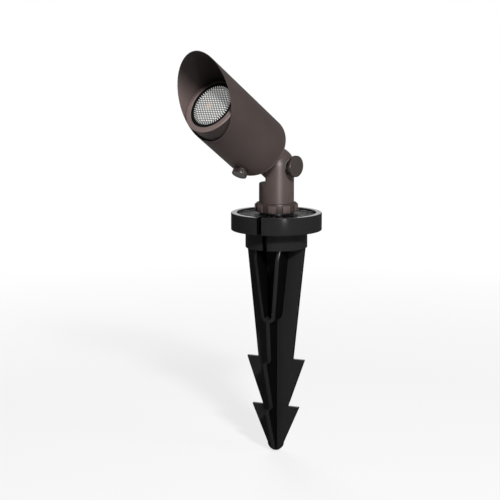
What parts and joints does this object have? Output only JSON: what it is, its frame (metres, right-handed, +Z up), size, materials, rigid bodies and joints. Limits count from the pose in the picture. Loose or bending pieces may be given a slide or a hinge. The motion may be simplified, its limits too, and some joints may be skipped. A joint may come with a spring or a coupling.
{
  "type": "garden spike spotlight",
  "caption": "Low-voltage garden spotlight: a tubular head with a slant-cut shade on a tilting half-lap knuckle, screwed into a ribbed and barbed ground spike.",
  "frame": {"origin": "on the spike's axis at the underside of its flange, where the flange rests on the ground", "axes": "+Z up along the spike's axis, -Y towards the front blade and the wire slots, +X to the right seen from the front; at rest the head is swivelled 18 degrees from -Y towards -X and rises 34.2 degrees"},
  "size_m": [0.1096, 0.1589, 0.4124],
  "materials": {
    "spike_plastic": "gloss",
    "head_coat": "satin",
    "knuckle_coat": "satin",
    "ring_coat": "satin",
    "screw_coat": "satin",
    "barrel_coat": "satin",
    "heat_sink": "satin",
    "black_rubber": "matte",
    "lens_glass": "polished",
    "brass_nut": "satin",
    "pin_brass": "polished",
    "bare_steel": "satin",
    "white_ceramic": "satin",
    "lamp_black": "satin",
    "board_white": "satin",
    "phosphor_yellow": "satin",
    "lead_white": "satin"
  },
  "bodies": {
    "spike": {"spike_flange": "spike_plastic", "spike_hub": "spike_plastic", "spike_collar": "spike_plastic", "spike_web": "spike_plastic", "spike_hairpins": "spike_plastic", "spike_point": "spike_plastic", "hub_washer": "black_rubber"},
    "lock_ring": {"lock_ring": "ring_coat"},
    "knuckle": {"knuckle_base": "knuckle_coat", "stem_grommet": "black_rubber", "knuckle_oring": "black_rubber", "thumbscrew_washer": "bare_steel"},
    "tilt_screw": {"tilt_thumbscrew": "screw_coat"},
    "head": {"knuckle_arm": "knuckle_coat", "arm_gasket": "black_rubber", "arm_nut": "brass_nut", "shroud": "head_coat", "lock_screw_seal": "black_rubber"},
    "lock_screw": {"barrel_lock_screw": "screw_coat"},
    "barrel": {"lamp_barrel": "barrel_coat", "barrel_orings": "black_rubber", "barrel_plug": "black_rubber", "cover_lens": "lens_glass", "lens_gasket": "black_rubber", "lamp_rim": "lamp_black", "lamp_body": "heat_sink", "led_board": "board_white", "led_chip": "phosphor_yellow", "lamp_pins": "pin_brass", "lamp_holder": "white_ceramic", "holder_bracket": "bare_steel", "holder_screws": "bare_steel", "lead_wires": "lead_white"},
    "lens_ring": {"lens_ring": "head_coat"}
  },
  "joints": [
    {"name": "stem_swivel", "type": "hinge", "parent": "spike", "child": "knuckle", "pos_m": [0, 0, 0.0654], "axis": [0, 0, 1], "range_deg": [-180, 180]},
    {"name": "lock_ring_turn", "type": "hinge", "parent": "knuckle", "child": "lock_ring", "pos_m": [0, 0, 0.0188], "axis": [0, 0, 1], "continuous": true},
    {"name": "head_tilt", "type": "hinge", "parent": "knuckle", "child": "head", "pos_m": [0, 0, 0.0654], "axis": [0.9511, -0.309, 0], "range_deg": [-145.8, 34.2]},
    {"name": "tilt_screw_turn", "type": "hinge", "parent": "knuckle", "child": "tilt_screw", "pos_m": [0, 0, 0.0654], "axis": [0.9511, -0.309, 0], "continuous": true},
    {"name": "barrel_screw_turn", "type": "hinge", "parent": "head", "child": "lock_screw", "pos_m": [-0.01176, -0.03618, 0.09126], "axis": [-0.122, -0.5505, -0.8259], "continuous": true},
    {"name": "barrel_slide", "type": "slide", "parent": "head", "child": "barrel", "axis": [-0.2556, -0.7866, 0.5621], "range_m": [-0.001, 0.005]},
    {"name": "lens_ring_turn", "type": "hinge", "parent": "barrel", "child": "lens_ring", "pos_m": [-0.02965, -0.09125, 0.1306], "axis": [-0.2556, -0.7866, 0.5621], "continuous": true}
  ]
}
